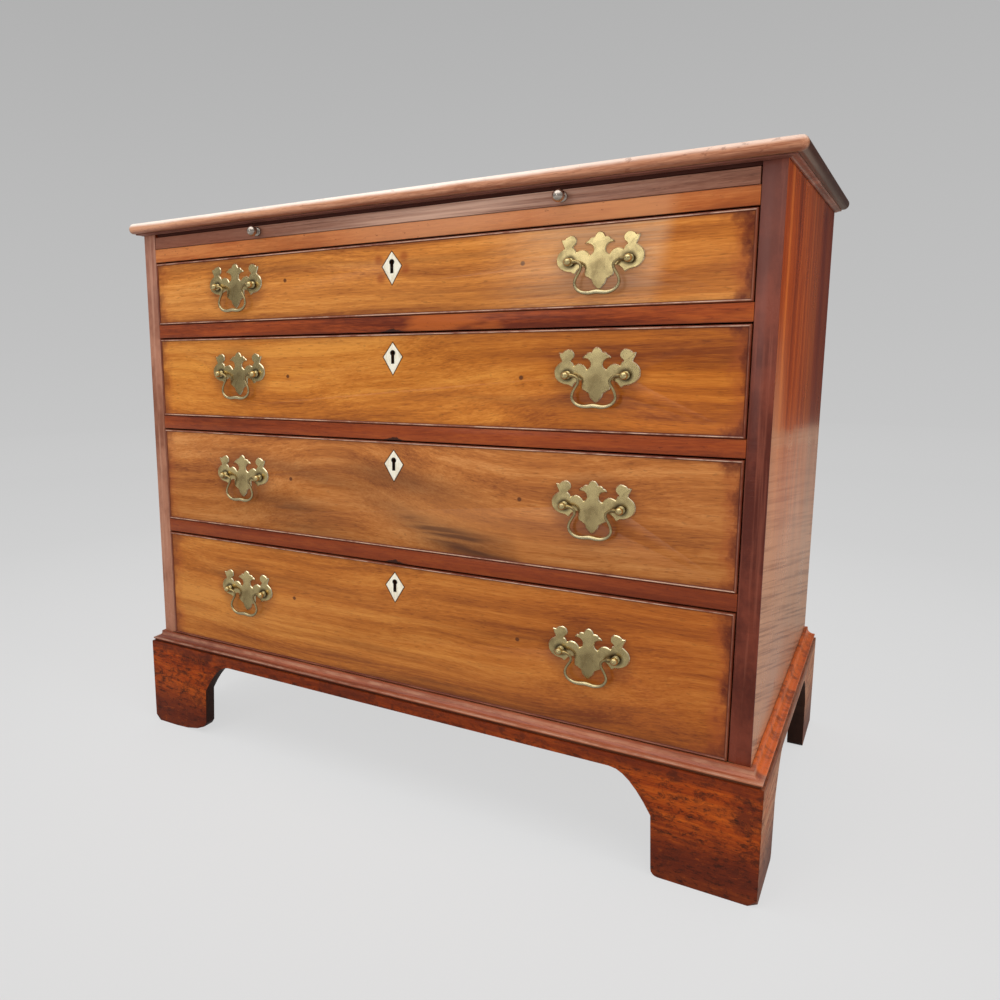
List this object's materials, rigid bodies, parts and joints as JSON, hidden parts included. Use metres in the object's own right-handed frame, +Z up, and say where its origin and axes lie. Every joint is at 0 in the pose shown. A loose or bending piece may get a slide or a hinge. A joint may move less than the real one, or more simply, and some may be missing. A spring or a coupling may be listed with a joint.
{
  "type": "bachelors chest",
  "caption": "Small mahogany chest of graduated cock-beaded drawers under a brushing slide, on a bracket plinth, with brass bail handles and bone keyhole plates.",
  "frame": {"origin": "on the floor, at the middle of the chest's width and of its full depth, the slide's knobs included", "axes": "+X to the right as seen from the front, +Y to the back, +Z up"},
  "size_m": [0.895, 0.55, 0.792],
  "materials": {
    "mahogany_top": "French polished mahogany, worn on its nosing",
    "mahogany_side": "glossy dark red-brown mahogany",
    "mahogany_rail": "rubbed red-brown mahogany",
    "mahogany_front": "faded golden mahogany with red-brown edges",
    "mahogany_slide": "dull brown mahogany",
    "mahogany_plinth": "distressed red-brown mahogany",
    "oak": "dry unpolished oak",
    "pine": "dry unpolished pine, dark with age",
    "brass": "old brass, rubbed bright on its edges",
    "dark_brass": "dark brass",
    "bone": "polished bone, a little yellow",
    "iron": "dark iron with some rust"
  },
  "bodies": {
    "carcase": {"side_left": "mahogany_side", "side_right": "mahogany_side", "bottom_board": "pine", "back_board": "pine", "kicker_frame": "pine", "top_board": "mahogany_top", "top_moulding": "mahogany_top", "base_moulding": "mahogany_plinth", "plinth_front": "mahogany_plinth", "plinth_left": "mahogany_plinth", "plinth_right": "mahogany_plinth", "back_bracket_left": "pine", "back_bracket_right": "pine", "slide_rail": "mahogany_rail", "slide_dustboard": "pine", "rail_1": "mahogany_rail", "dustboard_1": "pine", "rail_2": "mahogany_rail", "dustboard_2": "pine", "rail_3": "mahogany_rail", "dustboard_3": "pine"},
    "slide": {"slide_board": "mahogany_slide", "slide_knob_left": "dark_brass", "slide_knob_right": "dark_brass"},
    "drawer_1": {"drawer_1_front": "mahogany_front", "drawer_1_lining": "oak", "drawer_1_bottom": "oak", "drawer_1_lock": "iron", "drawer_1_escutcheon": "bone", "drawer_1_left_plate": "brass", "drawer_1_right_plate": "brass"},
    "drawer_1_left_bail": {"drawer_1_left_bail": "brass"},
    "drawer_1_right_bail": {"drawer_1_right_bail": "brass"},
    "drawer_2": {"drawer_2_front": "mahogany_front", "drawer_2_lining": "oak", "drawer_2_bottom": "oak", "drawer_2_lock": "iron", "drawer_2_escutcheon": "bone", "drawer_2_left_plate": "brass", "drawer_2_right_plate": "brass"},
    "drawer_2_left_bail": {"drawer_2_left_bail": "brass"},
    "drawer_2_right_bail": {"drawer_2_right_bail": "brass"},
    "drawer_3": {"drawer_3_front": "mahogany_front", "drawer_3_lining": "oak", "drawer_3_bottom": "oak", "drawer_3_lock": "iron", "drawer_3_escutcheon": "bone", "drawer_3_left_plate": "brass", "drawer_3_right_plate": "brass"},
    "drawer_3_left_bail": {"drawer_3_left_bail": "brass"},
    "drawer_3_right_bail": {"drawer_3_right_bail": "brass"},
    "drawer_4": {"drawer_4_front": "mahogany_front", "drawer_4_lining": "oak", "drawer_4_bottom": "oak", "drawer_4_lock": "iron", "drawer_4_escutcheon": "bone", "drawer_4_left_plate": "brass", "drawer_4_right_plate": "brass"},
    "drawer_4_left_bail": {"drawer_4_left_bail": "brass"},
    "drawer_4_right_bail": {"drawer_4_right_bail": "brass"}
  },
  "joints": [
    {"name": "slide_travel", "type": "slide", "parent": "carcase", "child": "slide", "axis": [0, -1, 0], "range_m": [0, 0.32]},
    {"name": "drawer_1_travel", "type": "slide", "parent": "carcase", "child": "drawer_1", "axis": [0, -1, 0], "range_m": [0, 0.38]},
    {"name": "drawer_1_left_bail_hinge", "type": "hinge", "parent": "drawer_1", "child": "drawer_1_left_bail", "pos_m": [-0.2546, -0.2645, 0.69136], "axis": [-1, 0, 0], "range_deg": [0, 170]},
    {"name": "drawer_1_right_bail_hinge", "type": "hinge", "parent": "drawer_1", "child": "drawer_1_right_bail", "pos_m": [0.2546, -0.2645, 0.69136], "axis": [-1, 0, 0], "range_deg": [0, 170]},
    {"name": "drawer_2_travel", "type": "slide", "parent": "carcase", "child": "drawer_2", "axis": [0, -1, 0], "range_m": [0, 0.38]},
    {"name": "drawer_2_left_bail_hinge", "type": "hinge", "parent": "drawer_2", "child": "drawer_2_left_bail", "pos_m": [-0.2546, -0.2645, 0.56801], "axis": [-1, 0, 0], "range_deg": [0, 170]},
    {"name": "drawer_2_right_bail_hinge", "type": "hinge", "parent": "drawer_2", "child": "drawer_2_right_bail", "pos_m": [0.2546, -0.2645, 0.56801], "axis": [-1, 0, 0], "range_deg": [0, 170]},
    {"name": "drawer_3_travel", "type": "slide", "parent": "carcase", "child": "drawer_3", "axis": [0, -1, 0], "range_m": [0, 0.38]},
    {"name": "drawer_3_left_bail_hinge", "type": "hinge", "parent": "drawer_3", "child": "drawer_3_left_bail", "pos_m": [-0.2546, -0.2645, 0.41917], "axis": [-1, 0, 0], "range_deg": [0, 170]},
    {"name": "drawer_3_right_bail_hinge", "type": "hinge", "parent": "drawer_3", "child": "drawer_3_right_bail", "pos_m": [0.2546, -0.2645, 0.41917], "axis": [-1, 0, 0], "range_deg": [0, 170]},
    {"name": "drawer_4_travel", "type": "slide", "parent": "carcase", "child": "drawer_4", "axis": [0, -1, 0], "range_m": [0, 0.38]},
    {"name": "drawer_4_left_bail_hinge", "type": "hinge", "parent": "drawer_4", "child": "drawer_4_left_bail", "pos_m": [-0.2546, -0.2645, 0.24482], "axis": [-1, 0, 0], "range_deg": [0, 170]},
    {"name": "drawer_4_right_bail_hinge", "type": "hinge", "parent": "drawer_4", "child": "drawer_4_right_bail", "pos_m": [0.2546, -0.2645, 0.24482], "axis": [-1, 0, 0], "range_deg": [0, 170]}
  ]
}
